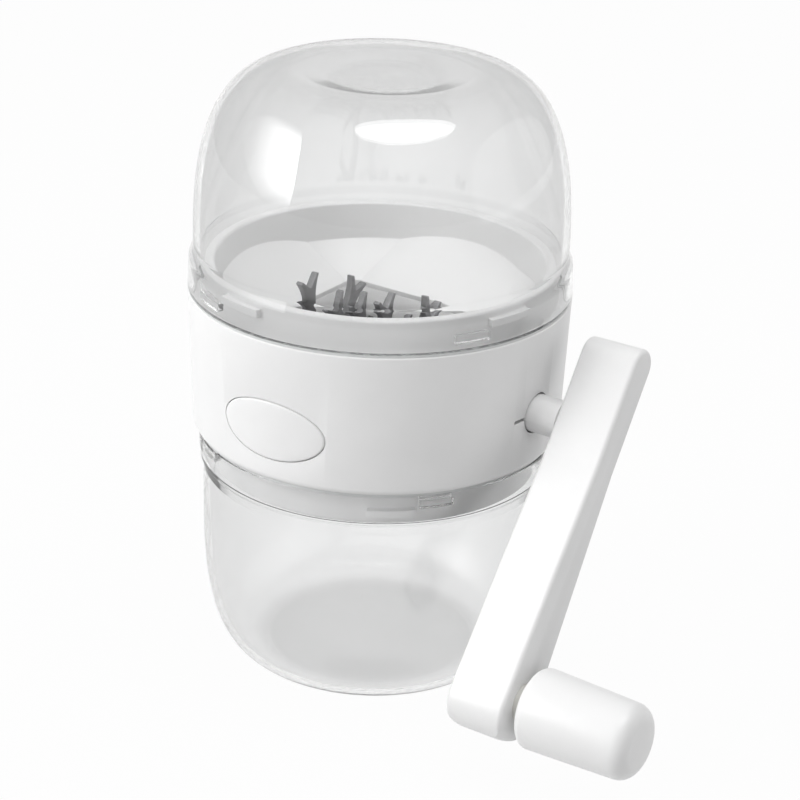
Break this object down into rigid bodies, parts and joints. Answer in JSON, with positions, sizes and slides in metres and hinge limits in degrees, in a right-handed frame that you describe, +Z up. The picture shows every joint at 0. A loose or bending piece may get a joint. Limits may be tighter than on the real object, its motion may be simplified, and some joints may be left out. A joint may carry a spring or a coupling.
{
  "type": "nut chopper",
  "caption": "Hand cranked nut chopper: two clear cups locked to a white grinding body with forked steel blades on a side crank.",
  "frame": {"origin": "centre of the ring on which the lower cup stands", "axes": "+Z up through both cups, +X along the crank's axis towards the knob"},
  "size_m": [0.1721, 0.1104, 0.1778],
  "materials": {
    "clear_plastic": "clear moulded plastic, polished",
    "white_plastic": "white moulded plastic, satin gloss",
    "bearing_plastic": "natural acetal, turned",
    "seal_silicone": "translucent silicone",
    "blade_steel": "stamped stainless steel, tumbled edges",
    "shaft_steel": "turned stainless steel"
  },
  "bodies": {
    "receiving_cup": {"lower_cup": "clear_plastic"},
    "lower_lock_ring": {"lower_seal": "seal_silicone"},
    "housing": {"body_shell": "white_plastic", "oval_cover": "white_plastic", "hopper": "white_plastic", "lower_collar": "white_plastic", "blade_chamber": "white_plastic", "front_comb": "blade_steel", "rear_comb": "blade_steel", "end_bush": "bearing_plastic", "drive_bush": "bearing_plastic", "chamber_screws": "shaft_steel"},
    "crank": {"drive_shaft": "shaft_steel", "shaft_clip": "shaft_steel", "star_blade_1": "blade_steel", "star_blade_2": "blade_steel", "star_blade_3": "blade_steel", "star_blade_4": "blade_steel", "star_blade_5": "blade_steel", "star_blade_6": "blade_steel", "star_blade_7": "blade_steel", "end_spacer_left": "bearing_plastic", "blade_spacer_1": "bearing_plastic", "blade_spacer_2": "bearing_plastic", "blade_spacer_3": "bearing_plastic", "blade_spacer_4": "bearing_plastic", "blade_spacer_5": "bearing_plastic", "blade_spacer_6": "bearing_plastic", "end_spacer_right": "bearing_plastic", "drive_pin": "shaft_steel", "crank_arm": "white_plastic", "knob_pin": "bearing_plastic"},
    "knob": {"crank_knob": "white_plastic"},
    "upper_lock_ring": {"upper_seal": "seal_silicone"},
    "covering_cup": {"upper_cup": "clear_plastic"}
  },
  "joints": [
    {"name": "lower_cup_twist", "type": "hinge", "parent": "receiving_cup", "child": "lower_lock_ring", "pos_m": [0, 0, 0.072], "axis": [0, 0, 1], "range_deg": [0, 14]},
    {"name": "housing_lift", "type": "slide", "parent": "lower_lock_ring", "child": "housing", "axis": [0, 0, 1], "range_m": [0, 0.06]},
    {"name": "crank_spin", "type": "hinge", "parent": "housing", "child": "crank", "pos_m": [0, 0, 0.0889], "axis": [1, 0, 0], "continuous": true},
    {"name": "knob_spin", "type": "hinge", "parent": "crank", "child": "knob", "pos_m": [0.0835, -0.04396, 0.02611], "axis": [1, 0, 0], "continuous": true},
    {"name": "upper_cup_twist", "type": "hinge", "parent": "housing", "child": "upper_lock_ring", "pos_m": [0, 0, 0.1144], "axis": [0, 0, 1], "range_deg": [0, 14]},
    {"name": "upper_cup_lift", "type": "slide", "parent": "upper_lock_ring", "child": "covering_cup", "axis": [0, 0, 1], "range_m": [0, 0.06]}
  ]
}
